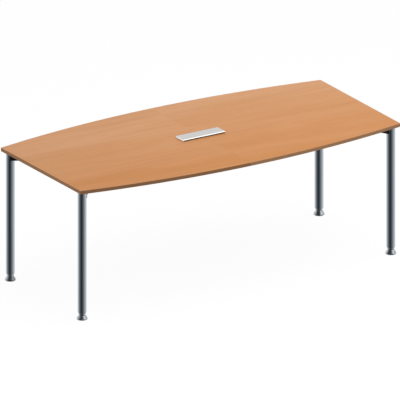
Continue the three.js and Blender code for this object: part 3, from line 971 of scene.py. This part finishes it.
# Studio: a white floor that keeps a faint shadow, a large soft lamp above on the camera's right and a
# smaller one at the left end. Metal mirrors a room that is dark behind the camera, with two windows.
view_azimuth = math.radians(-32.0)
view_elevation = math.radians(19.87)
white = (1.0, 1.0, 1.0, 1.0)
floor_reach = 30.0
floor_drop = 0.0004
floor_glow = 1.18
shadow_share = 0.2
ambient_level = 0.40
key_lamp = {"place": (1.0, -1.0, 4.0), "aim": (0.0, 0.0, board_top), "width": 4.5, "watts": 113}
left_lamp = {"place": (-4.0, 0.2, 0.9), "aim": (-1.0, 0.0, board_top), "width": 2.4, "watts": 28}
dark_backdrop = (0.0, 0.006, 0.012, 1.0)
bright_backdrop = (0.84, 0.86, 0.87, 1.0)
dark_side_turn = math.radians(15.0)
steep_dark_share = 0.8
window_core = 0.97
windows = [
    {"side": (0.50, -0.58, 0.64), "edge": 0.92, "level": 1.9},
    {"side": (-0.59, 0.80, 0.12), "edge": 0.86, "level": 1.25},
]


def floor_finish():
    """White to the camera but for a share of its shading, and a middling bouncer of light."""
    made, tree, shader = new_finish("studio floor", Roughness=1.0, Specular_IOR_Level=0.0)
    dust = mix_colors(tree, grain(tree, (3, 3, 3)), srgb(170, 170, 170), srgb(174, 174, 174))
    tree.links.new(dust, shader.inputs["Base Color"])
    glow = add(tree, "ShaderNodeEmission", {"Strength": floor_glow})
    seen = add(tree, "ShaderNodeLightPath").outputs["Is Camera Ray"]
    glow_share = calculate(tree, "MULTIPLY", seen, 1.0 - shadow_share)
    surface = add(tree, "ShaderNodeMixShader", {
        "Fac": glow_share, 1: shader.outputs["BSDF"], 2: glow.outputs["Emission"]})
    tree.links.new(surface.outputs["Shader"], tree.nodes["Material Output"].inputs["Surface"])
    return made


def new_lamp(name, place, aim, width, watts):
    """A square soft lamp, left out of mirrored light."""
    made = bpy.data.objects.new(name, bpy.data.lights.new(name, "AREA"))
    made.data.size = width
    made.data.energy = watts
    made.location = place
    made.rotation_euler = (Vector(place) - Vector(aim)).to_track_quat("Z", "Y").to_euler()
    made.visible_glossy = False
    bpy.context.scene.collection.objects.link(made)


def closeness(tree, direction, side):
    """How near a direction lies to a side: 1 straight at it, -1 straight away."""
    inputs = {0: direction, 1: Vector(side).normalized()}
    return add(tree, "ShaderNodeVectorMath", inputs, operation="DOT_PRODUCT").outputs["Value"]


def mirrored_room(tree):
    """The room that metal mirrors: bright at the back, dark behind the camera, above and below."""
    direction = add(tree, "ShaderNodeTexCoord").outputs["Generated"]
    dark_angle = view_azimuth - math.pi / 2 - dark_side_turn
    dark_side = (math.cos(dark_angle), math.sin(dark_angle), 0.0)
    height = add(tree, "ShaderNodeSeparateXYZ", {"Vector": direction}).outputs["Z"]
    steepness = calculate(tree, "ABSOLUTE", height, 0.0)
    steep_darkness = calculate(tree, "MULTIPLY", steepness, steep_dark_share)
    darkness = calculate(tree, "ADD", closeness(tree, direction, dark_side), steep_darkness)
    # An upright leg mirrors the room at the view's own slope, so the fade is centred there.
    leg_darkness = steep_dark_share * math.sin(view_elevation)
    dark_share = add(tree, "ShaderNodeMapRange", {
        "Value": darkness, "From Min": leg_darkness - 1.0, "From Max": leg_darkness + 1.0})
    room = mix_colors(tree, dark_share.outputs["Result"], bright_backdrop, dark_backdrop)
    for window in windows:
        level = window["level"]
        share = add(tree, "ShaderNodeMapRange", {
            "Value": closeness(tree, direction, window["side"]),
            "From Min": window["edge"], "From Max": window_core})
        room = mix_colors(tree, share.outputs["Result"], room, (level, level, level, 1.0))
    return room


floor = new_piece("floor", [
    (-floor_reach, -floor_reach, -floor_drop), (floor_reach, -floor_reach, -floor_drop),
    (floor_reach, floor_reach, -floor_drop), (-floor_reach, floor_reach, -floor_drop),
], [[0, 1, 2, 3]], floor_finish())
floor.visible_glossy = False
new_lamp("key lamp", **key_lamp)
new_lamp("left lamp", **left_lamp)

world = bpy.data.worlds.new("studio")
world.use_nodes = True
sky = world.node_tree
sky.nodes.clear()
ray = add(sky, "ShaderNodeLightPath").outputs
ambient = add(sky, "ShaderNodeBackground", {"Color": white, "Strength": ambient_level})
seen_room = mix_colors(sky, ray["Is Camera Ray"], mirrored_room(sky), white)
backdrop = add(sky, "ShaderNodeBackground", {"Color": seen_room})
mirrored = calculate(sky, "MAXIMUM", ray["Is Glossy Ray"], ray["Is Transmission Ray"])
seen = calculate(sky, "MAXIMUM", ray["Is Camera Ray"], mirrored)
surroundings = add(sky, "ShaderNodeMixShader", {
    "Fac": seen, 1: ambient.outputs["Background"], 2: backdrop.outputs["Background"]})
add(sky, "ShaderNodeOutputWorld", {"Surface": surroundings.outputs["Shader"]})
bpy.context.scene.world = world
bpy.context.scene.view_settings.view_transform = "Standard"

# Camera: a parallel view from the front left and a little above. The middle of the top falls half a
# pixel right of the picture's middle and about a third of the way down.
picture_size = 400
pixels_per_metre = 188.60
top_middle_pixel = (200.10, 135.0)
camera_distance = 10.0
camera = bpy.data.objects.new("camera", bpy.data.cameras.new("camera"))
camera.data.type = "ORTHO"
camera.data.ortho_scale = picture_size / pixels_per_metre
back = Vector((math.sin(view_azimuth) * math.cos(view_elevation),
               -math.cos(view_azimuth) * math.cos(view_elevation), math.sin(view_elevation)))
right = Vector((math.cos(view_azimuth), math.sin(view_azimuth), 0))
up = back.cross(right)
picture_middle = (picture_size - 1) / 2
aim = Vector((0, 0, board_top))
aim += right * ((picture_middle - top_middle_pixel[0]) / pixels_per_metre)
aim -= up * ((picture_middle - top_middle_pixel[1]) / pixels_per_metre)
camera.location = aim + back * camera_distance
camera.rotation_euler = back.to_track_quat("Z", "Y").to_euler()
bpy.context.scene.collection.objects.link(camera)
bpy.context.scene.camera = camera
